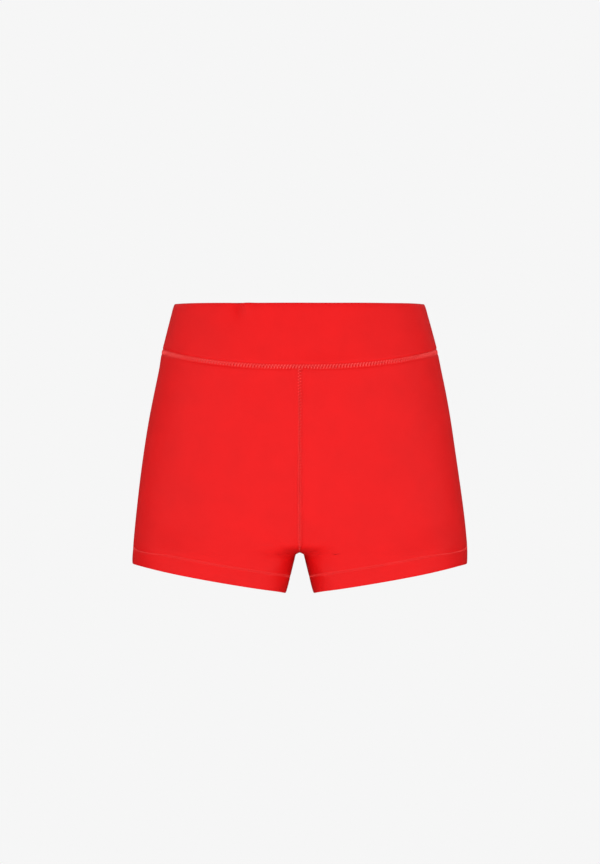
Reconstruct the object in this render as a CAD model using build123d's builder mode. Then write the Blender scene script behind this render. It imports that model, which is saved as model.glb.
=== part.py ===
from build123d import *
import os
from math import acos, copysign, cos, hypot, sin

# Boxing shorts: close-fitting stretch shorts in the shape they take on a body.
# Millimetres. The front faces -Y, the wearer's left is +X and +Z is up. The origin is the
# middle of the waist opening.

# Driving dimensions of the body shape, which is the outer face of the cloth
waist_half_width = 130.0
waist_front_depth = 92.0
waist_back_depth = 88.0
high_hip_half_width = 148.0
high_hip_front_depth = 101.0
high_hip_back_depth = 105.0
hip_half_width = 161.0
belly_depth = 103.5
hip_back_depth = 120.0
seat_half_width = 167.4
seat_front_depth = 100.0
seat_depth = 121.0
fold_half_width = 171.4  # at the fold under the seat
fold_front_depth = 96.0
fold_back_depth = 114.0
thigh_half_width = 174.0
thigh_front_depth = 91.0
thigh_back_depth = 95.0
rise = 258.4  # waist opening down to the crotch
inseam = 41.0  # crotch down to the hem, at the inside of the leg
gap_half_width = 3.7  # between the legs, just under the crotch
gap_spread = 0.26  # how fast each leg leaves the middle, further down
hem_slope = 0.198  # how fast the hem falls towards the inside of the leg
waist_tilt = 0.0435  # how fast the waist edge rises from front to back
section_power = 2.3  # power of the superellipse that each level follows
section_steps = 7  # steps along the front arc and along the back arc of a level
headroom = 14.0  # how far the body shape runs past the waist edge and the hem
flat_margin = 0.1  # keeps a narrow flat on the inside of each leg, where the inseam runs

# Cloth, band and seams
fabric = 0.8
thread = 0.35  # how far a stitch stands off the cloth
seam_width = 5.0  # flat seams
hem_depth = 16.5  # cloth turned up inside the leg opening
hem_stitch_width = 3.0  # twin-needle hem stitch
hem_stitch_margin = 0.5  # middle of that stitch under the raw edge of the hem
band_side_height = 50.4  # waistband at the side
band_front_drop = 17.8  # how much further the waist seam falls at the front
band_back_drop = 8.0
elastic_width = 10.0
elastic_thickness = 0.8
label_width = 30.0
label_length = 44.0
label_thickness = 0.4

seam_half = seam_width / 2
reach = 400.0  # longer than the shorts in any direction
past_middle = -4.0  # the torso levels run this far over the middle plane, which then cuts them
hem_gap = gap_half_width + gap_spread * inseam  # half the gap between the legs at the hem
leg_middle = (thigh_half_width + gap_half_width) / 2 + 1.5


def torso_levels():
    """Height, half width, front and back depth, and middle of each arc, down to the crotch."""
    return [
        (headroom, waist_half_width - 3.6, waist_front_depth - 2, waist_back_depth - 2, 0, 0),
        (0, waist_half_width, waist_front_depth, waist_back_depth, 0, 0),
        (-0.29 * rise, high_hip_half_width, high_hip_front_depth, high_hip_back_depth, 0, 0),
        (-0.58 * rise, hip_half_width, belly_depth, hip_back_depth, 0, 14),
        (-0.76 * rise, seat_half_width, seat_front_depth, seat_depth, 12, 34),
        (-0.89 * rise, fold_half_width, fold_front_depth, fold_back_depth, 45, 58),
        (
            -0.96 * rise,
            thigh_half_width - 1.2,
            thigh_front_depth + 3.5,
            thigh_back_depth + 13,
            0.8 * leg_middle,
            0.84 * leg_middle,
        ),
    ]


def leg_levels():
    """The same from the crotch down, then the inner edge. Their arcs close round the leg."""
    length = inseam + headroom
    first = 0.07
    levels = []
    for share in (0, first, 0.22, 0.5, 1.0):
        side = thigh_half_width + 0.6 * share
        inner = gap_half_width + gap_spread * (share - first) * length if share else 0
        front = thigh_front_depth + 2.5 * (1 - share)
        back = thigh_back_depth + 9 * (1 - share)
        levels.append((-rise - share * length, side, front, back, side, side, inner))
    return levels


def arc_points(middle, side, depth, inner):
    """Points of one superellipse arc, from the side of the body to its inner edge."""
    half = side - middle
    span = acos(-(((middle - inner) / half) ** (section_power / 2)))
    points = []
    for step in range(section_steps + 1):
        angle = span * step / section_steps
        across = copysign(abs(cos(angle)) ** (2 / section_power), cos(angle))
        along = abs(sin(angle)) ** (2 / section_power)
        points.append((middle + half * across, depth * along))
    return points


def half_body(inset):
    """The wearer's left half of the body shape, drawn in by inset from the cloth's face."""
    levels = [level + (past_middle,) for level in torso_levels()] + leg_levels()
    with BuildPart() as body:
        for height, side, front, back, front_middle, back_middle, inner in levels:
            lift = inset * min(1.0, front_middle / (0.8 * leg_middle))
            edge = inner + inset if inner > 0 else inner
            furthest = (side - inset + edge - flat_margin) / 2
            fore = arc_points(min(front_middle, furthest), side - inset, inset - front, edge)
            aft = arc_points(min(back_middle, furthest), side - inset, back - inset, edge)
            with BuildSketch(Plane.XY.offset(height + lift)):
                with BuildLine():
                    Spline(fore[::-1] + aft[1:])
                    Line(aft[-1], fore[-1])
                make_face()
        loft(ruled=True)
    return body.part


def ply(outer, inner):
    """The left half of a layer of cloth between two insets of the body shape."""
    with BuildPart() as layer:
        add(half_body(outer))
        add(half_body(inner), mode=Mode.SUBTRACT)
        split(bisect_by=Plane.YZ, keep=Keep.TOP)
    return layer.part


def waist_seam_points(above):
    """The waist seam seen from the side and raised by above: an arch, lowest at the front."""
    points = []
    for share in (-1.3, -1.0, -0.75, -0.5, -0.25, 0, 0.5, 1.0, 1.3):
        drop = band_front_drop if share < 0 else band_back_drop
        height = above - band_side_height - drop * share**2
        points.append((share * high_hip_front_depth, height))
    return points


def above_waist_seam(above):
    """Everything over the waist seam line raised by above."""
    line = waist_seam_points(above)
    with BuildPart() as zone:
        with BuildSketch(Plane.YZ):
            with BuildLine():
                Spline(line)
                Polyline(line[-1], (line[-1][0], reach), (line[0][0], reach), line[0])
            make_face()
        extrude(amount=reach, both=True)
    return zone.part


def below_waist_edge(below):
    """Everything under the waist edge lowered by below."""
    rise_at_reach = waist_tilt * reach
    with BuildPart() as zone:
        with BuildSketch(Plane.YZ):
            with BuildLine():
                Polyline(
                    (-reach, -rise_at_reach - below),
                    (reach, rise_at_reach - below),
                    (reach, -reach),
                    (-reach, -reach),
                    close=True,
                )
            make_face()
        extrude(amount=reach, both=True)
    return zone.part


def above_hem(above):
    """Everything more than above over the left hem edge, measured along the cloth."""
    middle_height = above * hypot(1, hem_slope) - rise - inseam - hem_slope * hem_gap
    with BuildPart() as zone:
        with BuildSketch(Plane.XZ):
            with BuildLine():
                Polyline(
                    (-reach, middle_height - hem_slope * reach),
                    (reach, middle_height + hem_slope * reach),
                    (reach, 2 * reach),
                    (-reach, 2 * reach),
                    close=True,
                )
            make_face()
        extrude(amount=reach, both=True)
    return zone.part


def left_piece(layer, keep=(), cut=()):
    """A layer of the left half, kept inside the zones in keep and outside those in cut."""
    with BuildPart() as piece:
        add(layer)
        for zone in keep:
            add(zone, mode=Mode.INTERSECT)
        for zone in cut:
            add(zone, mode=Mode.SUBTRACT)
    return piece.part


def joined(first, second):
    """Two left pieces of the same cloth, made one."""
    with BuildPart() as piece:
        add(first)
        add(second)
    return piece.part


def mirrored(piece):
    """The right-hand copy of a left piece."""
    with BuildPart() as copy:
        mirror(piece, about=Plane.YZ)
    return copy.part


def both_sides(piece):
    """A left piece joined to its mirror image at the middle plane."""
    with BuildPart() as whole:
        add(piece)
        mirror(about=Plane.YZ)
    return whole.part


def write(piece, name):
    """Give a piece its name and save it."""
    piece.label = name
    export_step(piece, f"parts/{name}.step")


os.makedirs("parts", exist_ok=True)

# Layers of the left half, from the outside in
stitch_outside = ply(-thread, 0)
one_ply = ply(0, fabric)
two_plies = ply(0, 2 * fabric)
channel_plies = ply(0, 2 * fabric + elastic_thickness)
channel = ply(fabric, fabric + elastic_thickness)
stitch_inside = ply(fabric, fabric + thread)
stitch_over_fold = ply(fabric, 2 * fabric + thread)
label_layer = ply(2 * fabric + thread, 2 * fabric + thread + label_thickness)

# Zones that cut the layers into pieces
with BuildPart() as middle_strip:
    Box(seam_width, 2 * reach, 2 * reach)
with BuildPart() as back_half:
    Box(2 * reach, reach, 2 * reach, align=(Align.CENTER, Align.MIN, Align.CENTER))
with BuildPart() as label_strip:
    Box(label_width, reach, 2 * reach, align=(Align.CENTER, Align.MIN, Align.CENTER))
with BuildPart() as inseam_strip:
    with Locations((0, 0, -rise / 2)):
        Box(2 * leg_middle, seam_width, reach, align=(Align.CENTER, Align.CENTER, Align.MAX))
over_waist_stitch = above_waist_seam(seam_half)
over_waist_seam = above_waist_seam(0)
from_waist_stitch = above_waist_seam(-seam_half)
label_foot = above_waist_seam(-label_length)
from_hem = above_hem(0)
over_hem_fold = above_hem(hem_depth)
from_hem_stitch = above_hem(hem_depth - hem_stitch_margin - hem_stitch_width / 2)
over_hem_stitch = above_hem(hem_depth - hem_stitch_margin + hem_stitch_width / 2)
channel_foot = 2 * fabric + elastic_width

# Leg panels: one piece of cloth each, wrapped round the hip and thigh, with the hem turned up
left_leg_panel = joined(
    left_piece(one_ply, keep=[from_hem], cut=[over_waist_seam]),
    left_piece(two_plies, keep=[from_hem], cut=[over_hem_fold]),
)
write(left_leg_panel, "left_leg_panel")
write(mirrored(left_leg_panel), "right_leg_panel")

# Waistband: a strip folded over its elastic, with a channel for it under the fold
left_elastic = left_piece(
    channel,
    keep=[below_waist_edge(fabric)],
    cut=[below_waist_edge(fabric + elastic_width)],
)
left_band = joined(
    left_piece(two_plies, keep=[below_waist_edge(0), over_waist_seam]),
    left_piece(channel_plies, keep=[below_waist_edge(0)], cut=[below_waist_edge(channel_foot)]),
)
left_band = left_piece(left_band, cut=[left_elastic])
write(both_sides(left_band), "waistband")
write(both_sides(left_elastic), "waistband_elastic")
join_thread = left_piece(
    stitch_outside,
    keep=[middle_strip.part, back_half.part, below_waist_edge(0), over_waist_stitch],
)
write(both_sides(join_thread), "waistband_join_thread")

# Care label: caught in the waist seam at the back, hanging inside
label = left_piece(
    label_layer,
    keep=[label_strip.part, label_foot],
    cut=[over_waist_seam],
)
write(both_sides(label), "care_label")

# Waist seam: cover threads on the face, looper threads over the raw edges inside
cover = left_piece(stitch_outside, keep=[from_waist_stitch], cut=[over_waist_stitch])
write(both_sides(cover), "waist_seam_cover_thread")
looper = left_piece(
    stitch_over_fold, keep=[from_waist_stitch], cut=[over_waist_stitch, left_band, left_leg_panel]
)
write(both_sides(looper), "waist_seam_looper_thread")

# Centre seam: one run from the waist at the front, under the crotch, to the waist at the back
for layer, name in ((stitch_outside, "cover"), (stitch_inside, "looper")):
    centre = left_piece(layer, keep=[middle_strip.part], cut=[from_waist_stitch])
    write(both_sides(centre), f"centre_seam_{name}_thread")

# Inseams: from the centre seam down the inside of each leg; the hem stitch crosses them
cover = left_piece(
    stitch_outside,
    keep=[inseam_strip.part, from_hem],
    cut=[middle_strip.part, left_piece(from_hem_stitch, cut=[over_hem_stitch])],
)
looper = left_piece(
    stitch_inside, keep=[inseam_strip.part, over_hem_stitch], cut=[middle_strip.part]
)
for piece, name in ((cover, "cover"), (looper, "looper")):
    write(piece, f"left_inseam_{name}_thread")
    write(mirrored(piece), f"right_inseam_{name}_thread")

# Hems: a twin-needle stitch on the face and its looper thread over the raw edge inside
cover = left_piece(stitch_outside, keep=[from_hem_stitch], cut=[over_hem_stitch])
looper = left_piece(
    stitch_over_fold, keep=[from_hem_stitch], cut=[over_hem_stitch, left_leg_panel]
)
for piece, name in ((cover, "cover"), (looper, "looper")):
    write(piece, f"left_hem_{name}_thread")
    write(mirrored(piece), f"right_hem_{name}_thread")
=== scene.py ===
from math import cos, pi, radians, sin

import bpy
import numpy as np
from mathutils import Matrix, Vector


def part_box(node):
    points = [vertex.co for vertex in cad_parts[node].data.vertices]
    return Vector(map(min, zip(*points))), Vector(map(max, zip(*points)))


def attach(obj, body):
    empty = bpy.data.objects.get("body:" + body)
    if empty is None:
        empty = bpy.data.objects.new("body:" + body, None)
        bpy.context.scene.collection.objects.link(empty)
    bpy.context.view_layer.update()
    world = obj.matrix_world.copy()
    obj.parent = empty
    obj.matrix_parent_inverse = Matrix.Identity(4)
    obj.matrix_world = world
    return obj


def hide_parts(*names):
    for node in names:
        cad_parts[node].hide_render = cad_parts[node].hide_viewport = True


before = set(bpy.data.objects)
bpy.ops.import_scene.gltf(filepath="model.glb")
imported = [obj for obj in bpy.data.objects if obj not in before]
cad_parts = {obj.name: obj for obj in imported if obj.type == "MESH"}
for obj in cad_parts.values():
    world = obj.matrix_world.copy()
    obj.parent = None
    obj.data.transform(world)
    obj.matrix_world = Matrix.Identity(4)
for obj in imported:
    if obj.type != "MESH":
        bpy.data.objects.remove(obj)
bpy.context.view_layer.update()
MM = 0.001


# The shape that the shorts take on a body.
# Stretch jersey takes the wearer's shape, so every piece of cloth and every seam is laid on this
# one form. It is a stack of level outlines, from over the waist to under the hems, in millimetres.
SECTION_POWER = 2.3  # of the superellipse that the back of each outline follows
INNER_SQUARENESS = 1.9  # added to the power on the inner side of the thigh, at the front
BACK_SQUARENESS = 0.6  # the same at the back
WAIST_HALF_WIDTH = 130.0
WAIST_EDGE_TILT = 0.0435
WAIST_SIDE_DROP = 1.3
BELLY_DEPTH = 101.0
BAND_SIDE_HEIGHT = 50.4
BAND_FRONT_DROP = 17.8
BAND_BACK_DROP = 8.0
THIGH_HALF_WIDTH = 174.0
HEM_SLOPE = 0.198
HEM_CORNER_DIP = 4.0
HEM_CORNER_REACH = 16.0
HEM_CORNER_DEPTH = 80.0
HEM_INNER_LIFT = 2.9
HEM_LIFT_REACH = 62.0
HEM_CLEARANCE = 0.3
HEM_SIDE_DROP = 1.5
LEG_FLARE = 0.245
NOTCH_HALF_WIDTH = 3.6
NOTCH_ROUNDING = 0.7
INSEAM_LENGTH = 42.0
hem_low = 1000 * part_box("left_leg_panel")[0][2]
crotch_height = hem_low + INSEAM_LENGTH
gap_at_hem = NOTCH_HALF_WIDTH + LEG_FLARE * INSEAM_LENGTH
ROUNDS = 12  # enough for a height that depends on its own place to settle

# height as a share of the rise, half width, front depth, back depth, how far the front and the
# back arc close round the leg, from 0 for a half oval to 1 for a whole one, and the power of the
# superellipse that the front arc follows
LEVELS = np.array([
    (0.060, 126.3, 90.0, 85.5, 0.00, 0.00, 2.30),
    (0.000, 130.0, 92.0, 88.0, 0.00, 0.00, 2.30),
    (-0.145, 139.9, 97.3, 97.5, 0.00, 0.00, 2.30),
    (-0.290, 148.0, 101.0, 105.8, 0.00, 0.00, 2.32),
    (-0.440, 155.3, 103.2, 114.5, 0.00, 0.03, 2.36),
    (-0.580, 160.9, 103.5, 119.6, 0.00, 0.09, 2.44),
    (-0.760, 167.4, 100.6, 121.0, 0.08, 0.26, 2.66),
    (-0.890, 171.3, 96.6, 114.8, 0.26, 0.52, 2.86),
    (-0.960, 172.9, 94.8, 108.0, 0.55, 0.76, 2.94),
    (-1.000, 173.6, 93.6, 104.2, 1.00, 1.00, 2.62),
    (-1.080, 174.2, 92.3, 99.6, 1.00, 1.00, 2.50),
    (-1.240, 174.5, 90.6, 95.2, 1.00, 1.00, 2.50),
])


def follow(column, height):
    """The value of one column of LEVELS at any height, smooth and with no overshoot."""
    knots = LEVELS[:, 0] * crotch_height
    values = LEVELS[:, column]
    steps = np.diff(knots)
    slopes = np.diff(values) / steps
    tangents = np.zeros(len(knots))
    same = slopes[1:] * slopes[:-1] > 0
    mean = 2 * slopes[1:] * slopes[:-1] / np.where(same, slopes[1:] + slopes[:-1], 1)
    tangents[1:-1] = np.where(same, mean, 0)
    tangents[0], tangents[-1] = slopes[0], slopes[-1]
    depth = np.clip(-np.asarray(height, float), knots[0], knots[-1])
    i = np.clip(np.searchsorted(knots, depth) - 1, 0, len(steps) - 1)
    t = (depth - knots[i]) / steps[i]
    return (
        values[i] * (1 + 2 * t) * (1 - t) ** 2
        + tangents[i] * steps[i] * t * (1 - t) ** 2
        + values[i + 1] * t * t * (3 - 2 * t)
        + tangents[i + 1] * steps[i] * t * t * (t - 1)
    )


def inner_edge(height):
    """How far the inside of the left leg is from the middle plane, under the crotch."""
    under = np.maximum(crotch_height - height, 0)
    return NOTCH_HALF_WIDTH * (1 - np.exp(-under / NOTCH_ROUNDING)) + LEG_FLARE * under


def worn_shape(u, height):
    """The left half of the form: u is 0 at the front edge, 0.5 at the side, 1 at the back."""
    u, height = np.broadcast_arrays(np.asarray(u, float), np.asarray(height, float))
    fore = u < 0.5
    half = follow(1, height)
    depth = np.where(fore, -follow(2, height), follow(3, height))
    closing = np.where(fore, follow(4, height), follow(5, height))
    edge = inner_edge(height)
    middle = (closing * half + edge) / (1 + closing)
    span = np.arccos(-np.clip(closing, 0, 1) ** (SECTION_POWER / 2))
    angle = span * np.abs(1 - 2 * u)
    across = np.sign(np.cos(angle)) * np.abs(np.cos(angle)) ** (2 / SECTION_POWER)
    squarer = np.where(fore, INNER_SQUARENESS, BACK_SQUARENESS) * np.clip(closing, 0, 1) ** 2
    power = np.where(fore, follow(6, height), SECTION_POWER) + np.where(across < 0, squarer, 0)
    along = np.maximum(1 - np.abs(across) ** power, 0) ** (1 / power)
    return np.stack([middle + (half - middle) * across, depth * along, height], axis=-1)


def waist_edge_height(u):
    """The waist edge tilts up towards the back and drops a little at the sides."""
    height = np.zeros_like(u)
    for _ in range(ROUNDS):
        place = worn_shape(u, height)
        side = WAIST_SIDE_DROP * (place[..., 0] / WAIST_HALF_WIDTH) ** 8
        height = WAIST_EDGE_TILT * place[..., 1] - side
    return height


def waist_seam_height(u):
    """The waist seam arches over the hips and is lowest at the front."""
    height = np.full_like(u, -BAND_SIDE_HEIGHT)
    for _ in range(ROUNDS):
        y = worn_shape(u, height)[..., 1] / BELLY_DEPTH
        height = -BAND_SIDE_HEIGHT - np.where(y < 0, BAND_FRONT_DROP, BAND_BACK_DROP) * y * y
    return height


def hem_height(u):
    """The hem falls from the outside of the leg to the inside."""
    height = np.full_like(u, hem_low)
    for _ in range(ROUNDS):
        place = worn_shape(u, height)
        out = np.maximum(place[..., 0] - gap_at_hem, 0)
        inner = np.clip(1 - np.abs(place[..., 1]) / HEM_CORNER_DEPTH, 0, 1)
        dip = HEM_CORNER_DIP * np.exp(-out / HEM_CORNER_REACH) * inner
        lift = HEM_CLEARANCE + HEM_INNER_LIFT * np.exp(-((out / HEM_LIFT_REACH) ** 1.6))
        side = HEM_SIDE_DROP * (place[..., 0] / THIGH_HALF_WIDTH) ** 30
        height = hem_low + HEM_SLOPE * out + lift - dip - side
    return height


def outward(points):
    """Unit normals of a lattice of points whose rows go down and columns from front to back."""
    normals = np.cross(np.gradient(points, axis=0), np.gradient(points, axis=1))
    return normals / np.maximum(np.linalg.norm(normals, axis=2, keepdims=True), 1e-9)


# Leg panels.
# Each is one piece of glossy nylon and elastane jersey, wrapped round the hip and thigh from the
# centre front to the centre back, joined to itself at the inseam, with the hem turned up inside.
CLOTH = 0.7
PLY_GAP = 0.8  # from the middle of one layer to the middle of the next
FACE_INSET = 0.4  # middle of the outer layer under the face
HEM_DEPTH = 17.3
HEM_STITCH = 16.8
HEM_STITCH_DENT = 0.30
DITCH_DEPTH = 0.32
DITCH_HALF_WIDTH = 3.1
GROOVE_DEPTH = 0.42
PUCKER_DEPTH = 0.10
PUCKER_PITCH = 6.3
SEAT_FOLD_DEPTH = 1.1
SEAT_FOLD_HEIGHT = -222.0
DRAG_START = 4.0  # from the middle plane
DRAG_REACH = 34.0
DRAG_DEPTH = 0.35
PANEL_COLUMNS = 206
UPPER_ROWS = 84
LOWER_ROWS = 11


def lengths(points, axis):
    """Running length over a lattice of points, along one axis, from its first line."""
    steps = np.linalg.norm(np.diff(points, axis=axis), axis=2)
    start = np.zeros_like(np.take(steps, [0], axis=axis))
    return np.concatenate([start, np.cumsum(steps, axis=axis)], axis=axis)


def hump(place, middle, width):
    """A smooth rise, 1 high, with its top at middle."""
    return np.exp(-(((place - middle) / width) ** 2))


def short_of(place, edge, softness):
    """1 short of an edge and 0 past it, with a soft change between them."""
    return 1 / (1 + np.exp((place - edge) / softness))


def ditch(away):
    """Depth of the cloth beside a flat seam: pulled in under the stitches, puffed beyond."""
    pulled = DITCH_DEPTH * short_of(away, DITCH_HALF_WIDTH, 0.28)
    return 0.14 * hump(away, 5.2, 2.6) + 0.16 * hump(away, 9, 7) - pulled


def groove(away):
    """The narrow crease where the cloth is folded sharply down along one side of a seam."""
    return -GROOVE_DEPTH * hump(away, DITCH_HALF_WIDTH, 0.5)


def pucker(away, along, seed):
    """Fine ripples that a seam draws into the cloth, fading with the distance from it."""
    wave = np.sin(2 * pi * along / PUCKER_PITCH + seed + 1.7 * np.sin(along / 17 + seed))
    wave = wave * (0.6 + 0.4 * np.sin(along / 31 + 2 * seed))
    return PUCKER_DEPTH * wave * hump(away, 4, 5)


def soft_folds(points, side):
    """Broad waves of cloth under even tension, drag lines out of the crotch, and a seat fold."""
    x, y, z = np.moveaxis(points, 2, 0)
    turn = 1.3 * side
    waves = 0.55 * np.sin(x / 23 + z / 61 + turn) * np.sin(z / 47 + y / 80 + 2 * turn)
    waves += 0.30 * np.sin(x / 11 - z / 37 + y / 29 + 3 * turn)
    out, down = x - DRAG_START, crotch_height - z
    drag = np.cos(9 * np.arctan2(-down, out) + 0.6 * turn) * hump(np.hypot(out, down), DRAG_REACH, 26)
    seat = hump(z + 0.12 * x, SEAT_FOLD_HEIGHT, 9) * hump(x, 70, 46) * short_of(-y, 0, 12)
    return waves + DRAG_DEPTH * drag - SEAT_FOLD_DEPTH * seat


def panel_rows():
    """Shares of the way down in each of the four zones of a panel, densest at its seams."""
    top = np.array([0, 0.8, 1.6, 2.2, 2.6, 3.0, 3.4, 3.9, 4.6, 5.5, 6.7, 8.2, 10.0, 12.0])
    upper = 1 - (1 - np.linspace(0, 1, UPPER_ROWS)[1:]) ** 1.5
    lower = np.linspace(0, 1, LOWER_ROWS)[1:] ** 1.5
    foot = np.array([22, 20, 18.8, 18, 17.4, 16.8, 16.4, 16, 15.6, 15.2, 14.6, 14, 13.2, 12, 10.3,
                     8, 5.8, 3.8, 2.2, 1.0, 0.3, 0])
    return top, upper, lower, foot


def panel_columns():
    """Places across a panel, closest together beside the centre seam and inseam."""
    edge = np.array([0, 0.8, 1.6, 2.2, 2.6, 3.0, 3.4, 3.9, 4.6, 5.5, 6.7, 8.2, 10.0]) / 480
    middle = np.linspace(edge[-1], 1 - edge[-1], PANEL_COLUMNS)[1:-1]
    return np.concatenate([edge, middle, 1 - edge[::-1]])


def panel_face(side):
    """Points and normals of a panel's face, and their running lengths each way."""
    u = panel_columns()[None, :]
    top, upper, lower, foot = panel_rows()
    seam, hem = waist_seam_height(u), hem_height(u)
    stretch = np.hypot(1, HEM_SLOPE)
    first, crotch, last = seam - top[-1], hem + INSEAM_LENGTH, hem + 24 * stretch
    heights = [seam - s for s in top]
    heights += [first + (crotch - first) * s for s in upper]
    heights += [crotch + (last - crotch) * s for s in lower]
    heights += [hem + s * stretch for s in foot]
    heights = np.concatenate(heights)
    points = worn_shape(np.broadcast_to(u, heights.shape), heights)
    legs = heights[:, 0] < crotch_height - 0.01
    points[~legs, 0, 0] = 0
    points[~legs, -1, 0] = 0
    normals = outward(points)
    for edge in (0, -1):
        normals[~legs, edge, 0] = 0
    both = normals[legs, 0] + normals[legs, -1]
    normals[legs, 0] = normals[legs, -1] = both
    normals /= np.linalg.norm(normals, axis=2, keepdims=True)
    across, down = lengths(points, 1), lengths(points, 0)
    from_edge = np.minimum(across, across[:, -1:] - across)
    up = down[-1:] - down
    shift = soft_folds(points, side) * np.clip(from_edge / 16, 0, 1) * np.clip(down / 16, 0, 1)
    shift *= np.clip(up / 14, 0.25, 1)
    edge_depth, top_depth = ditch(from_edge), ditch(down)
    shift += np.where(np.abs(edge_depth) > np.abs(top_depth), edge_depth, top_depth)
    if side > 0:
        shift += groove(across)
    shift += pucker(from_edge, down, side) + pucker(down, across, 2 + side)
    shift -= HEM_STITCH_DENT * hump(up, HEM_STITCH, 1.7)
    shift += pucker(np.abs(up - HEM_STITCH) + 2, across, 5 + side) * 0.8
    shift -= 0.5 * np.exp(-up / 3)
    points = points + normals * (shift - FACE_INSET)[..., None]
    return points, normals, across, down


def strip_beside(points, normals, away, distances):
    """Places on a cloth at set distances from an edge, found along each line that leaves it."""
    both = np.concatenate([points, normals], axis=2)
    lines = range(both.shape[1])
    return np.array([
        [[np.interp(wanted, away[:, j], both[:, j, k]) for k in range(6)] for j in lines]
        for wanted in distances
    ])


def fold_back(points, normals, radius, climb, gaps):
    """A lattice carried on round a turned edge and up its inside, by climb, at gaps from itself."""
    down = points[-1] - points[-4]
    down /= np.linalg.norm(down, axis=1, keepdims=True)
    rows = []
    for angle in pi * np.arange(1, 7) / 6:
        rows.append(points[-1] + radius * (normals[-1] * (cos(angle) - 1) + down * sin(angle)))
    up = np.linalg.norm(points - points[-1], axis=2)
    inside = strip_beside(points[::-1], normals[::-1], up[::-1], climb)
    gaps = np.broadcast_to(gaps, len(climb))[:, None, None]
    return np.concatenate([points, rows, inside[..., :3] - inside[..., 3:] * gaps])


def sheet_of_cloth(name, points, flip, across, down, thickness=CLOTH):
    """A flat cut of cloth, laid on a lattice of points and given its thickness."""
    if flip:
        points, across, down = points[:, ::-1], across[:, ::-1], down[:, ::-1]
    rows, columns = points.shape[:2]
    bpy.ops.object.select_all(action="DESELECT")
    bpy.ops.mesh.primitive_grid_add(
        x_subdivisions=columns - 1, y_subdivisions=rows - 1, size=0.3, calc_uvs=True
    )
    cloth = bpy.context.object
    cloth.name = cloth.data.name = name
    cloth.data.vertices.foreach_set("co", (points * MM).astype(np.float32).ravel())
    corners = np.zeros(len(cloth.data.loops), dtype=np.int32)
    cloth.data.loops.foreach_get("vertex_index", corners)
    uv = np.stack([across.ravel(), down.ravel()], axis=1)[corners] * MM
    cloth.data.uv_layers[0].data.foreach_set("uv", uv.astype(np.float32).ravel())
    cloth.data.update()
    bpy.ops.object.modifier_add(type="SOLIDIFY")
    cloth.modifiers[-1].thickness = thickness * MM
    cloth.modifiers[-1].offset = 0
    bpy.ops.object.modifier_apply(modifier=cloth.modifiers[-1].name)
    bpy.ops.object.shade_smooth()
    return cloth


def mirrored(points, side):
    """The left half as it is, or turned into the right half where side is -1."""
    return points * np.array([side, 1, 1])


def worked_out(tree, operation, *values):
    """The result of a maths node whose inputs are numbers and other nodes' outputs."""
    node = tree.nodes.new("ShaderNodeMath")
    node.operation = operation
    for socket, value in zip(node.inputs, values):
        if isinstance(value, float):
            socket.default_value = value
        else:
            tree.links.new(value, socket)
    return node.outputs["Value"]


def graded(tree, value, given, wanted, change="LINEAR"):
    """The result of a node that turns one range of a value into another."""
    node = tree.nodes.new("ShaderNodeMapRange")
    node.interpolation_type = change
    node.inputs["From Min"].default_value, node.inputs["From Max"].default_value = given
    node.inputs["To Min"].default_value, node.inputs["To Max"].default_value = wanted
    tree.links.new(value, node.inputs["Value"])
    return node.outputs["Result"]


def knit_loops():
    """The face of a fine warp knit: rows of little V loops, and the slight unevenness of a dye."""
    group = bpy.data.node_groups.new("knit_loops", "ShaderNodeTree")
    for name, kind in (("Cloth", "Vector"), ("Place", "Vector"), ("Wale", "Float")):
        group.interface.new_socket(name=name, in_out="INPUT", socket_type=f"NodeSocket{kind}")
    for name in ("Loops", "Shade"):
        group.interface.new_socket(name=name, in_out="OUTPUT", socket_type="NodeSocketFloat")
    nodes, links = group.nodes, group.links
    given, out = nodes.new("NodeGroupInput"), nodes.new("NodeGroupOutput")
    split = nodes.new("ShaderNodeSeparateXYZ")
    links.new(given.outputs["Cloth"], split.inputs["Vector"])
    wales = worked_out(group, "DIVIDE", split.outputs["X"], given.outputs["Wale"])
    courses = worked_out(group, "DIVIDE", split.outputs["Y"], given.outputs["Wale"])
    offset = worked_out(group, "SUBTRACT", worked_out(group, "FRACT", wales), 0.5)
    from_middle = worked_out(group, "ABSOLUTE", offset)
    rise = worked_out(group, "MULTIPLY", courses, 0.8)
    slant = worked_out(group, "MULTIPLY_ADD", from_middle, 1.4, rise)
    legs = worked_out(group, "SINE", worked_out(group, "MULTIPLY", slant, 2 * pi))
    rib = worked_out(group, "COSINE", worked_out(group, "MULTIPLY", from_middle, pi))
    links.new(worked_out(group, "MULTIPLY_ADD", legs, 0.3, rib), out.inputs["Loops"])
    noise = nodes.new("ShaderNodeTexNoise")
    noise.inputs["Scale"].default_value = 38
    noise.inputs["Detail"].default_value = 4
    links.new(given.outputs["Place"], noise.inputs["Vector"])
    links.new(noise.outputs["Fac"], out.inputs["Shade"])
    return group


def knit_face(tree, wale, strength, depth):
    """Lays the loops over a finish, and gives back the unevenness of the dye."""
    nodes, links = tree.nodes, tree.links
    cloth, place = nodes.new("ShaderNodeUVMap"), nodes.new("ShaderNodeTexCoord")
    cloth.uv_map = "UVMap"
    knit = nodes.new("ShaderNodeGroup")
    knit.node_tree = bpy.data.node_groups.get("knit_loops") or knit_loops()
    knit.inputs["Wale"].default_value = wale
    loops = nodes.new("ShaderNodeBump")
    loops.inputs["Strength"].default_value = strength
    loops.inputs["Distance"].default_value = depth
    links.new(cloth.outputs["UV"], knit.inputs["Cloth"])
    links.new(place.outputs["Object"], knit.inputs["Place"])
    links.new(knit.outputs["Loops"], loops.inputs["Height"])
    links.new(loops.outputs["Normal"], nodes["Principled BSDF"].inputs["Normal"])
    return knit.outputs["Shade"]


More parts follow.
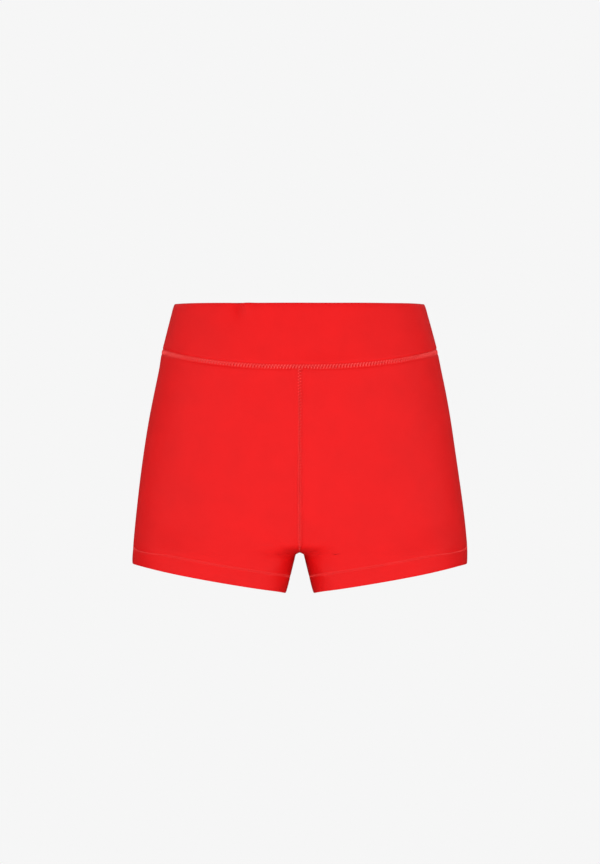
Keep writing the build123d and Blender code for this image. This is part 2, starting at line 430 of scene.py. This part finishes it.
def tinted(tree, value, dark, light, dark_end=0.0, light_end=1.0):
    """Colours a finish from dark to light as a value rises from one end to the other."""
    tint = tree.nodes.new("ShaderNodeValToRGB")
    for stop, end, colour in zip(tint.color_ramp.elements, (dark_end, light_end), (dark, light)):
        stop.position = end
        stop.color = (*colour, 1)
    tree.links.new(value, tint.inputs["Fac"])
    tree.links.new(tint.outputs["Color"], tree.nodes["Principled BSDF"].inputs["Base Color"])


def jersey_finish(name):
    """Glossy red nylon jersey: even colour, soft broad shine, loops that only show close up."""
    finish = bpy.data.materials.new(name)
    finish.use_nodes = True
    tree = finish.node_tree
    surface = tree.nodes["Principled BSDF"]
    surface.inputs["Specular IOR Level"].default_value = 0.15
    shade = knit_face(tree, wale=0.00062, strength=0.35, depth=0.00008)
    dark, light = (0.640, 0.0026, 0.0032), (0.680, 0.0031, 0.0039)
    tinted(tree, shade, dark, light, dark_end=0.3, light_end=0.7)
    tree.links.new(graded(tree, shade, (0, 1), (0.50, 0.58)), surface.inputs["Roughness"])
    return finish


red_jersey = jersey_finish("red_jersey")
leg_faces = {}
for side, word in ((1, "left"), (-1, "right")):
    points, normals, across, down = panel_face(side)
    leg_faces[word] = (mirrored(points, side), mirrored(normals, side), across, down)
    climb = (1.2, 3, 6, 9, 12, 14.5, HEM_DEPTH)
    whole = fold_back(points, normals, PLY_GAP / 2, climb, PLY_GAP)
    extra = len(whole) - len(points)
    down = np.concatenate([down, down[-1:] + np.cumsum(np.full((extra, 1), 1.5), axis=0)])
    across = np.concatenate([across, np.repeat(across[-1:], extra, axis=0)])
    panel = sheet_of_cloth(f"{word}_leg_cloth", mirrored(whole, side), side > 0, across, down)
    panel.data.materials.append(red_jersey)
    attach(panel, "root")
    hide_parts(f"{word}_leg_panel")


# Waistband.
# One deep strip of the same jersey, joined at the centre back and folded over at the top edge,
# so it is two layers down to the waist seam, with the elastic caught inside the fold.
CHANNEL_DEPTH = 12.2
ELASTIC_GAP = 0.8
DENT_PLACE = -63.0  # where the waist edge is pushed in, to the wearer's right of the middle
DENT_DEPTH = 3.0


def ring_columns():
    """Places from the centre back round one side to the centre front, and on round the other."""
    edge = np.array([0, 0.8, 1.6, 2.4, 3.2, 4.2, 5.5, 7.5, 10.0]) / 380
    half = np.concatenate([edge, np.linspace(edge[-1], 1, 140)[1:]])
    right = 1 - half
    sides = np.repeat([-1, 1], [len(right), len(right) - 1])
    return np.concatenate([right, right[::-1][1:]]), sides


def around(u, sides, heights):
    """Points of the whole form, both halves."""
    points = worn_shape(np.broadcast_to(u, heights.shape), heights)
    points[..., 0] *= sides
    return points


def waistband_face():
    """Points and normals of the band's face, and their running lengths along and up."""
    u, sides = ring_columns()
    seam, edge = waist_seam_height(u), waist_edge_height(u)
    low = np.array([0, 0.8, 1.6, 2.2, 2.6, 3.0, 3.4, 3.9, 4.6, 5.5, 6.7, 8.2, 10.0])
    high = np.array([14, 13, 12, 11, 9.5, 8, 6, 4.4, 3, 2, 1.2, 0.6, 0.2, 0])
    shares = np.linspace(0, 1, 20)[1:-1]
    heights = [seam + s for s in low]
    heights += [seam + low[-1] + (edge - high[0] - seam - low[-1]) * s for s in shares]
    heights += [edge - s for s in high]
    points = around(u, sides, np.array(heights))
    normals = -outward(points)
    normals[:, 0] = normals[:, -1] = normals[:, 0] * [0, 1, 1]
    normals /= np.linalg.norm(normals, axis=2, keepdims=True)
    up, along = lengths(points, 0), lengths(points, 1)
    under_edge = up[-1:] - up
    from_join = np.minimum(along, along[:, -1:] - along)
    x, y, z = np.moveaxis(points, 2, 0)
    shift = 0.5 * np.sin(x / 26 + 0.8) * np.sin(z / 33 + 0.4) + 0.25 * np.sin(x / 12 + y / 19 + 1)
    shift *= np.clip(up / 14, 0, 1)
    shift += ditch(up) + groove(up) + pucker(up, along, 4)
    join = ditch(from_join)
    shift = np.where(np.abs(join) > np.abs(shift), join, shift) + pucker(from_join, up, 3)
    shift -= 0.45 * np.exp(-under_edge / 2.2)
    shift += 0.12 * hump(under_edge, 6, 4.5) * (1 + np.sin(along / 3.1) * 0.35)
    dent = hump(x, DENT_PLACE, 4.4) - 0.40 * hump(x, DENT_PLACE + 11, 5.5)
    shift -= DENT_DEPTH * dent * hump(under_edge, 0, 11) * (y < 0)
    points = points + normals * (shift - FACE_INSET)[..., None]
    return points, normals, along, up


def layer_gap(under_edge):
    """The inner layer stands off round the elastic and lies on the outer one below it."""
    return PLY_GAP + ELASTIC_GAP * short_of(under_edge, CHANNEL_DEPTH, 0.7)


band_points, band_normals, band_along, band_up = waistband_face()
climb = np.array([1.5, 3, 5, 7, 9, 10.5, 11.5, CHANNEL_DEPTH, 13, 14, 16, *range(20, 50, 4)])
turning = (PLY_GAP + ELASTIC_GAP) / 2
band = fold_back(band_points, band_normals, turning, climb, layer_gap(climb))
band = np.concatenate([band, [band_points[0] - band_normals[0] * PLY_GAP]])
extra = len(band) - len(band_points)
up = np.concatenate([band_up, band_up[-1:] + np.cumsum(np.full((extra, 1), 3.0), axis=0)])
along = np.concatenate([band_along, np.repeat(band_along[-1:], extra, axis=0)])
waistband = sheet_of_cloth("waistband_cloth", band, False, along, up)
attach(waistband, "root")
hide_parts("waistband")
waistband.data.materials.append(jersey_finish("red_jersey_band"))


# Waistband elastic.
# A soft ribbed white elastic 10 mm wide, joined into a ring and lying loose in the channel
# under the fold of the waistband, where it keeps the edge up.
ELASTIC_WIDTH = 9.6
ELASTIC_TOP = 1.5
ELASTIC_RIB = 0.07
ELASTIC_RIB_PITCH = 1.6
ELASTIC_ROWS = 33


def elastic_finish():
    """Soft matt white elastic: coarser loops than the jersey, and no shine."""
    finish = bpy.data.materials.new("white_elastic")
    finish.use_nodes = True
    surface = finish.node_tree.nodes["Principled BSDF"]
    surface.inputs["Specular IOR Level"].default_value = 0.35
    surface.inputs["Roughness"].default_value = 0.7
    shade = knit_face(finish.node_tree, wale=0.0008, strength=0.6, depth=0.0002)
    tinted(finish.node_tree, shade, (0.70, 0.69, 0.66), (0.80, 0.79, 0.77))
    return finish


under_edge = (band_up[-1:] - band_up)[::-1]
depths = np.linspace(ELASTIC_TOP + ELASTIC_WIDTH, ELASTIC_TOP, ELASTIC_ROWS)
tape = strip_beside(band_points[::-1], band_normals[::-1], under_edge, depths)
ribs = ELASTIC_RIB * np.cos(2 * pi * (depths - ELASTIC_TOP) / ELASTIC_RIB_PITCH)[:, None, None]
tape_points = tape[..., :3] - tape[..., 3:] * (PLY_GAP + ribs)
tape_along = np.repeat(band_along[:1], ELASTIC_ROWS, axis=0)
tape_up = np.repeat(-depths[:, None], tape.shape[1], axis=1)
elastic = sheet_of_cloth("elastic_tape", tape_points, False, tape_along, tape_up)
bpy.ops.object.mode_set(mode="EDIT")
bpy.ops.mesh.select_all(action="SELECT")
bpy.ops.mesh.remove_doubles(threshold=0.00002)
bpy.ops.object.mode_set(mode="OBJECT")
elastic.data.materials.append(elastic_finish())
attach(elastic, "root")
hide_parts("waistband_elastic")


# Care label.
# A blank white satin ribbon folded in half, caught by its two ends in the waist seam at the
# centre back, so that it hangs inside the seat.
LABEL_HALF_WIDTH = 1000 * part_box("care_label")[1][0]
LABEL_LENGTH = 1000 * (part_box("care_label")[1][2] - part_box("care_label")[0][2])
LABEL_INSET = 2.05
LABEL_RIBBON = 0.13
LABEL_FOLD = 0.16  # half the gap between the two halves of the ribbon
LABEL_STAND_OFF = 4.0
LABEL_CAUGHT = 1.5  # held above the middle of the seam
LABEL_ROWS = 34


def satin_finish():
    """White satin ribbon: fine ribs across it, with a sheen that runs along them."""
    finish = bpy.data.materials.new("white_satin")
    finish.use_nodes = True
    tree = finish.node_tree
    nodes, links = tree.nodes, tree.links
    surface = nodes["Principled BSDF"]
    surface.inputs["Specular IOR Level"].default_value = 0.5
    surface.inputs["Sheen Weight"].default_value = 0.15
    cloth = nodes.new("ShaderNodeUVMap")
    cloth.uv_map = "UVMap"
    ribs = nodes.new("ShaderNodeTexWave")
    ribs.bands_direction = "Y"
    ribs.inputs["Scale"].default_value = 900
    ribs.inputs["Distortion"].default_value = 0.6
    satin = nodes.new("ShaderNodeBump")
    satin.inputs["Strength"].default_value = 0.3
    satin.inputs["Distance"].default_value = 0.00004
    links.new(cloth.outputs["UV"], ribs.inputs["Vector"])
    links.new(ribs.outputs["Fac"], satin.inputs["Height"])
    links.new(satin.outputs["Normal"], surface.inputs["Normal"])
    links.new(graded(tree, ribs.outputs["Fac"], (0, 1), (0.3, 0.42)), surface.inputs["Roughness"])
    tinted(tree, ribs.outputs["Fac"], (0.76, 0.76, 0.75), (0.84, 0.84, 0.83))
    return finish


label_top = float(waist_seam_height(np.array([1.0]))[0]) + LABEL_CAUGHT
drop = np.linspace(0, LABEL_LENGTH - 2, LABEL_ROWS)
turn = np.linspace(0, pi, 7)[1:-1]
drops = np.concatenate([drop, drop[-1] + LABEL_FOLD * np.sin(turn), drop[::-1]])
layer = np.concatenate([drop * 0, LABEL_FOLD * (1 - np.cos(turn)), drop * 0 + 2 * LABEL_FOLD])
width = np.linspace(-1, 1, 21)
share = drops[:, None] / LABEL_LENGTH
seat = worn_shape(np.ones_like(drops), label_top - drops)[:, 1][:, None]
hang = LABEL_STAND_OFF * share ** 1.5 * (1 + 0.25 * width ** 2)
hang = hang + 0.6 * np.sin(2.4 * width + 0.7) * share + 0.25 * np.sin(5 * width) * share ** 2
behind = seat - LABEL_INSET - layer[:, None] - hang
label_points = np.stack(np.broadcast_arrays(
    LABEL_HALF_WIDTH * width, behind, label_top - drops[:, None]
), axis=-1)
label_across = np.broadcast_to(LABEL_HALF_WIDTH * (width + 1), label_points.shape[:2])
label = sheet_of_cloth(
    "satin_care_label", label_points, False,
    label_across, lengths(label_points, 0), LABEL_RIBBON,
)
label.data.materials.append(satin_finish())
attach(label, "root")
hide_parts("care_label")


# Waist seam stitching.
# A flat seam: two rows of needle thread hold the butted edges, and a bulky textured thread
# crosses from row to row over them on the face. Two looper threads do the same inside.
NEEDLE_ROW = 2.25  # from the middle of a seam to each row
NEEDLE_DIP = 0.24
SEAM_PITCH = 3.1
COVER_RADIUS = 0.33
NEEDLE_RADIUS = 0.13
LOOPER_RADIUS = 0.13
SHARPNESS = 0.97  # of a zigzag's corners
ON_FACE = CLOTH / 2 + 0.10
INSIDE = -CLOTH / 2 - 0.10


def run_along(strip):
    """Running length along the middle of a strip of cloth."""
    middle = strip[len(strip) // 2, :, :3]
    return np.concatenate([[0], np.cumsum(np.linalg.norm(np.diff(middle, axis=0), axis=1))])


def on_strip(strip, along, across, height):
    """Places along a strip of cloth, across it from -1 to 1, and above its middle surface."""
    column = np.interp(along, run_along(strip), np.arange(strip.shape[1]))
    row = (across + 1) / 2 * (len(strip) - 1)
    i = np.clip(row.astype(int), 0, len(strip) - 2)
    j = np.clip(column.astype(int), 0, strip.shape[1] - 2)
    a, b = (row - i)[:, None], (column - j)[:, None]
    upper = strip[i, j] * (1 - b) + strip[i, j + 1] * b
    lower = strip[i + 1, j] * (1 - b) + strip[i + 1, j + 1] * b
    place = upper * (1 - a) + lower * a
    return place[:, :3] + place[:, 3:] * np.asarray(height)[:, None]


def crossing_thread(strip, pitch, height, arch, phase, width=0.9):
    """A thread that zigzags between the two needle rows and stands up between them.

    It comes with its shares of light colour: painted light on every other stroke and painted shade on
    the strokes between.
    """
    length = run_along(strip)[-1]
    count = max(round(length / pitch), 2)
    stitch = np.arange(count * 8 + 1) / 8
    turn = 2 * pi * stitch + phase
    swing = np.arcsin(SHARPNESS * np.sin(turn + 0.55 * np.cos(turn))) / np.arcsin(SHARPNESS)
    lift = arch * (1 - swing ** 2)
    places = on_strip(strip, stitch * length / count, width * swing, height + lift)
    patchy = 0.85 + 0.15 * np.sin(0.37 * stitch) * np.sin(0.11 * stitch + 1)
    # cos(turn) paints light and shade on alternate strokes; patchy is an uneven tone along the thread
    return places, patchy * (0.66 + 0.34 * np.cos(turn))


def needle_thread(strip, pitch, height, arch, row, light=0.1):
    """A row of straight stitches, which dips through the cloth at each end of a stitch, coloured with
    painted shade that is darkest where it dips.
    """
    length = run_along(strip)[-1]
    count = max(round(length / pitch), 2)
    stitch = np.arange(count * 6 + 1) / 6
    sides = np.full(len(stitch), float(row))
    lift = np.sin(pi * stitch) ** 2
    places = on_strip(strip, stitch * length / count, sides, height - NEEDLE_DIP + arch * lift)
    return places, light * lift


def threads(name, node, routes, finish):
    """Threads as round tubes, each given as its points, their shares of painted light and shade, and
    a radius.
    """
    bpy.ops.object.select_all(action="DESELECT")
    pieces, painted_shades = [], []
    for (points, light), radius in routes:
        curve = bpy.data.curves.new(name, "CURVE")
        curve.dimensions = "3D"
        curve.bevel_depth = radius * MM
        curve.bevel_resolution = 1
        curve.use_fill_caps = True
        spline = curve.splines.new("POLY")
        spline.points.add(len(points) - 1)
        spline.points.foreach_set("co", np.column_stack([points * MM, np.ones(len(points))]).ravel())
        piece = bpy.data.objects.new(name, curve)
        bpy.context.collection.objects.link(piece)
        piece.select_set(True)
        pieces.append(piece)
        painted_shades.append(light)
    bpy.context.view_layer.objects.active = pieces[0]
    bpy.ops.object.convert(target="MESH")
    for piece, light in zip(pieces, painted_shades):
        # a tube's points come as its two end caps and then its rings
        # the light attribute carries painted light and shade into the thread's colour
        shade = piece.data.attributes.new("light", "FLOAT", "POINT")
        rings = np.concatenate([light[-1:], light[:1], light])
        shade.data.foreach_set("value", np.repeat(rings, len(piece.data.vertices) // len(rings)))
    bpy.ops.object.join()
    stitching = bpy.context.object
    stitching.name = stitching.data.name = name
    bpy.ops.object.mode_set(mode="EDIT")
    bpy.ops.mesh.select_all(action="SELECT")
    bpy.ops.mesh.remove_doubles(threshold=0.000001)
    bpy.ops.mesh.normals_make_consistent(inside=False)
    bpy.ops.object.mode_set(mode="OBJECT")
    bpy.ops.object.shade_smooth()
    stitching.data.materials.clear()
    stitching.data.materials.append(finish)
    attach(stitching, "root")
    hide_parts(node)
    return stitching


def flat_seam(name, strip, finish, width=0.72, inside=INSIDE, lower_row_painted_light=0.1):
    """The stitching of one flat seam, face and inside."""
    cover = [(crossing_thread(strip, SEAM_PITCH, ON_FACE, 0.22, 0, width), COVER_RADIUS)]
    # the needle rows are coloured with painted shade, the lower one less where its share is raised
    for row, light in ((-1, lower_row_painted_light), (1, 0.1)):
        route = needle_thread(strip, SEAM_PITCH, ON_FACE, 0.25, row, light)
        cover.append((route, NEEDLE_RADIUS))
    threads(f"{name}_cover_stitches", f"{name}_cover_thread", cover, finish)
    loops = []
    for phase in (pi / 2, -pi / 2):
        loops.append((crossing_thread(strip, SEAM_PITCH, inside, -0.12, phase), LOOPER_RADIUS))
    # the looper needle rows inside are coloured with painted shade too
    for row in (-1, 1):
        loops.append((needle_thread(strip, SEAM_PITCH, inside, -0.2, row), LOOPER_RADIUS))
    threads(f"{name}_looper_stitches", f"{name}_looper_thread", loops, finish)


def thread_finish(name, light, dark):
    """Textured polyester thread: a lighter red than the cloth, with its plies showing, and painted
    light and shade from its light attribute.
    """
    finish = bpy.data.materials.new(name)
    finish.use_nodes = True
    nodes, links = finish.node_tree.nodes, finish.node_tree.links
    surface = nodes["Principled BSDF"]
    surface.inputs["Specular IOR Level"].default_value = 0.2
    surface.inputs["Sheen Weight"].default_value = 0.08
    surface.inputs["Roughness"].default_value = 0.55
    place = nodes.new("ShaderNodeTexCoord")
    plies = nodes.new("ShaderNodeTexWave")
    plies.bands_direction = "DIAGONAL"
    plies.inputs["Scale"].default_value = 900
    plies.inputs["Distortion"].default_value = 3
    plies.inputs["Detail"].default_value = 2
    twist = nodes.new("ShaderNodeBump")
    twist.inputs["Strength"].default_value = 0.5
    twist.inputs["Distance"].default_value = 0.00005
    shade = nodes.new("ShaderNodeAttribute")
    shade.attribute_name = "light"
    tinted(finish.node_tree, shade.outputs["Fac"], dark, light)
    links.new(place.outputs["Object"], plies.inputs["Vector"])
    links.new(plies.outputs["Fac"], twist.inputs["Height"])
    links.new(twist.outputs["Normal"], surface.inputs["Normal"])
    return finish


# the dark colour is painted shade for the sunk needle rows and the strokes between the lit ones
red_thread = thread_finish("red_thread", (1.0, 0.105, 0.098), (0.68, 0.006, 0.007))
above_seam = strip_beside(band_points, band_normals, band_up, (NEEDLE_ROW / 2, NEEDLE_ROW))
at_seam = strip_beside(band_points, band_normals, band_up, (0,))
below_seam = above_seam[::-1].copy()
below_seam[..., :3] = 2 * at_seam[..., :3] - below_seam[..., :3]
waist_strip = np.concatenate([below_seam, at_seam, above_seam])
# the lower needle row of this seam takes less painted shade than the upper one
flat_seam(
    "waist_seam", waist_strip, red_thread,
    width=0.95, inside=INSIDE - PLY_GAP, lower_row_painted_light=0.6,
)


# Centre seam stitching.
# The same flat seam joins the two panels, from the waist seam down the front, under the crotch
# and up the back in one run.
spread = (NEEDLE_ROW, NEEDLE_ROW / 2, 0)
torso = slice(0, sum(len(zone) for zone in panel_rows()[:2]))


def beside_edge(face, rows, distances, at_back):
    """Places beside the front or the back edge of a face, along the rows that leave the edge."""
    points, normals, across, down = face
    away = across[:, -1:] - across if at_back else across
    lines = [part[rows, ::-1] if at_back else part[rows] for part in (points, normals, away)]
    return strip_beside(*(line.swapaxes(0, 1) for line in lines), distances)


def both_sides(half):
    """A strip across the middle plane, from its left half, whose last line is on that plane."""
    return np.concatenate([half, half[:-1][::-1] * [-1, 1, 1, -1, 1, 1]])


front_half = beside_edge(leg_faces["left"], torso, spread, False)
back_half = beside_edge(leg_faces["left"], torso, spread, True)
centre_strip = both_sides(np.concatenate([front_half, back_half[:, ::-1][:, 1:]], axis=1))
# the same thread as the waist seam, coloured darker here as painted shade; its dark end paints shade
# on the needle rows
painted_shade_thread = thread_finish("red_thread_painted_shade", (0.98, 0.046, 0.043), (0.56, 0.002, 0.003))
flat_seam("centre_seam", centre_strip, painted_shade_thread)


# Inseam stitching.
# A short flat seam closes each leg between the thighs, from the crotch to the turned hem.
leg = slice(torso.stop - 1, None)
for word in ("left", "right"):
    fore = beside_edge(leg_faces[word], leg, spread, False)
    aft = beside_edge(leg_faces[word], leg, spread[:2], True)
    flat_seam(f"{word}_inseam", np.concatenate([fore, aft[::-1]]), painted_shade_thread)


# Hem stitching.
# A narrow zigzag between two needle rows on the face, 17 mm above the turned edge, with its
# looper thread over the raw edge of the turning inside.
HEM_ROW = 1.15
HEM_PITCH = 2.9
HEM_COVER_RADIUS = 0.15
HEM_NEEDLE_RADIUS = 0.10
# the hem thread's dark end is painted shade for its needle rows, which take less of it here
hem_thread = thread_finish("red_thread_hem", (1.0, 0.060, 0.056), (0.66, 0.006, 0.007))
hem_rows = (HEM_STITCH - HEM_ROW, HEM_STITCH, HEM_STITCH + HEM_ROW)
inside = INSIDE - PLY_GAP
for word in ("left", "right"):
    points, normals, across, down = leg_faces[word]
    up = (down[-1:] - down)[::-1]
    hem_strip = strip_beside(points[::-1], normals[::-1], up, hem_rows)
    cover = [(crossing_thread(hem_strip, HEM_PITCH, ON_FACE, 0.05, 0), HEM_COVER_RADIUS)]
    for row in (-1, 1):
        route = needle_thread(hem_strip, HEM_PITCH, ON_FACE, 0.26, row, 0.7)
        cover.append((route, HEM_NEEDLE_RADIUS))
    threads(f"{word}_hem_cover_stitches", f"{word}_hem_cover_thread", cover, hem_thread)
    loops = []
    for phase in (0, pi):
        loops.append((crossing_thread(hem_strip, HEM_PITCH, inside, -0.1, phase), LOOPER_RADIUS))
    threads(f"{word}_hem_looper_stitches", f"{word}_hem_looper_thread", loops, hem_thread)


# Waistband join.
# The two ends of the waistband meet at the centre back, in a flat seam of their own from the
# waist seam up to the fold.
half_ring = band_points.shape[1] // 2
left_band = [part[:, half_ring:] for part in (band_points, band_normals, band_along, band_up)]
join_strip = both_sides(beside_edge(left_band, slice(None), spread, True))
cover = [(crossing_thread(join_strip, SEAM_PITCH, ON_FACE, 0.22, 0, width=0.5), COVER_RADIUS)]
for row in (-1, 1):
    cover.append((needle_thread(join_strip, SEAM_PITCH, ON_FACE, 0.25, row), NEEDLE_RADIUS))
threads("waistband_join_stitches", "waistband_join_thread", cover, painted_shade_thread)


# Camera: level with the hips, far enough back to flatten the shape.
camera_data = bpy.data.cameras.new("camera")
camera_data.lens = 120.2
camera = bpy.data.objects.new("camera", camera_data)
camera.location = (0.0003, -3.0, -0.1336)
camera.rotation_euler = (radians(90), 0, 0)
bpy.context.collection.objects.link(camera)
bpy.context.scene.camera = camera
bpy.context.scene.view_settings.view_transform = "Standard"

# Stage: a pale floor under a pale surround, lit as in a white room. The light is broad and soft
# and comes from the front, with a weaker one from above the back.
FLOOR_HEIGHT = -0.9
FLOOR_RADIUS = 30
PALE = (0.922, 0.922, 0.922, 1)
# brightness in front, and the shares of it at the sides and behind, for soft light and for gloss
ROOMS = ((3.14, 0.04, 0.17), (2.90, 0.01, 0.03))
OVERHEAD = 1.3
bpy.ops.object.select_all(action="DESELECT")
bpy.ops.mesh.primitive_circle_add(
    vertices=96, radius=FLOOR_RADIUS, fill_type="NGON", location=(0, 0, FLOOR_HEIGHT)
)
floor = bpy.context.object
floor.name = "floor"
pale = bpy.data.materials.new("pale_floor")
pale.use_nodes = True
tree = pale.node_tree
nodes, links = tree.nodes, tree.links
nodes.clear()
out, mix = nodes.new("ShaderNodeOutputMaterial"), nodes.new("ShaderNodeMixShader")
seen, glow = nodes.new("ShaderNodeEmission"), nodes.new("ShaderNodeEmission")
seen.inputs["Color"].default_value = PALE
glow.inputs["Color"].default_value = PALE
path, place = nodes.new("ShaderNodeLightPath"), nodes.new("ShaderNodeTexCoord")
split = nodes.new("ShaderNodeSeparateXYZ")
links.new(place.outputs["Object"], split.inputs["Vector"])
bright = graded(tree, split.outputs["Y"], (-1.2, 0.4), (1.85, 0.22), "SMOOTHSTEP")
dull = worked_out(tree, "MULTIPLY_ADD", path.outputs["Is Glossy Ray"], -0.9, 1.0)
links.new(worked_out(tree, "MULTIPLY", bright, dull), glow.inputs["Strength"])
links.new(path.outputs["Is Camera Ray"], mix.inputs["Fac"])
links.new(glow.outputs["Emission"], mix.inputs[1])
links.new(seen.outputs["Emission"], mix.inputs[2])
links.new(mix.outputs["Shader"], out.inputs["Surface"])
floor.data.materials.append(pale)

world = bpy.data.worlds.new("white_room")
world.use_nodes = True
tree = world.node_tree
nodes, links = tree.nodes, tree.links
nodes.clear()
out = nodes.new("ShaderNodeOutputWorld")
direction, path = nodes.new("ShaderNodeTexCoord"), nodes.new("ShaderNodeLightPath")
split = nodes.new("ShaderNodeSeparateXYZ")
links.new(direction.outputs["Generated"], split.inputs["Vector"])
back = graded(tree, split.outputs["Y"], (0.15, 0.5), (0, 1))
high = graded(tree, split.outputs["Z"], (0.22, 0.55), (0, OVERHEAD))
turned = graded(tree, split.outputs["Y"], (-1, 1), (0, 1))
rooms = []
for brightest, flank, behind in ROOMS:
    front = nodes.new("ShaderNodeValToRGB")
    front.color_ramp.interpolation = "B_SPLINE"
    stops = front.color_ramp.elements
    stops[0].color = (0.80, 0.80, 0.80, 1)
    stops[1].color = (behind, behind, behind, 1)
    for place in (0.18, 0.30, 0.44):
        stops.new(place).color = (1, 1, 1, 1)
    for place in (0.62, 0.72):
        stops.new(place).color = (flank, flank, flank, 1)
    stops.new(0.86).color = (behind, behind, behind, 1)
    links.new(turned, front.inputs["Fac"])
    dimming = (1.02 * brightest, 0.12 * brightest)
    lower = graded(tree, split.outputs["Z"], (0.05, 0.70), dimming, "SMOOTHSTEP")
    level = worked_out(tree, "MULTIPLY", front.outputs["Color"], lower)
    room = nodes.new("ShaderNodeBackground")
    links.new(worked_out(tree, "MULTIPLY_ADD", back, high, level), room.inputs["Strength"])
    rooms.append(room.outputs["Background"])
seen = nodes.new("ShaderNodeBackground")
seen.inputs["Color"].default_value = PALE
shine, view = nodes.new("ShaderNodeMixShader"), nodes.new("ShaderNodeMixShader")
links.new(path.outputs["Is Glossy Ray"], shine.inputs["Fac"])
links.new(rooms[0], shine.inputs[1])
links.new(rooms[1], shine.inputs[2])
links.new(path.outputs["Is Camera Ray"], view.inputs["Fac"])
links.new(shine.outputs["Shader"], view.inputs[1])
links.new(seen.outputs["Background"], view.inputs[2])
links.new(view.outputs["Shader"], out.inputs["Surface"])
bpy.context.scene.world = world
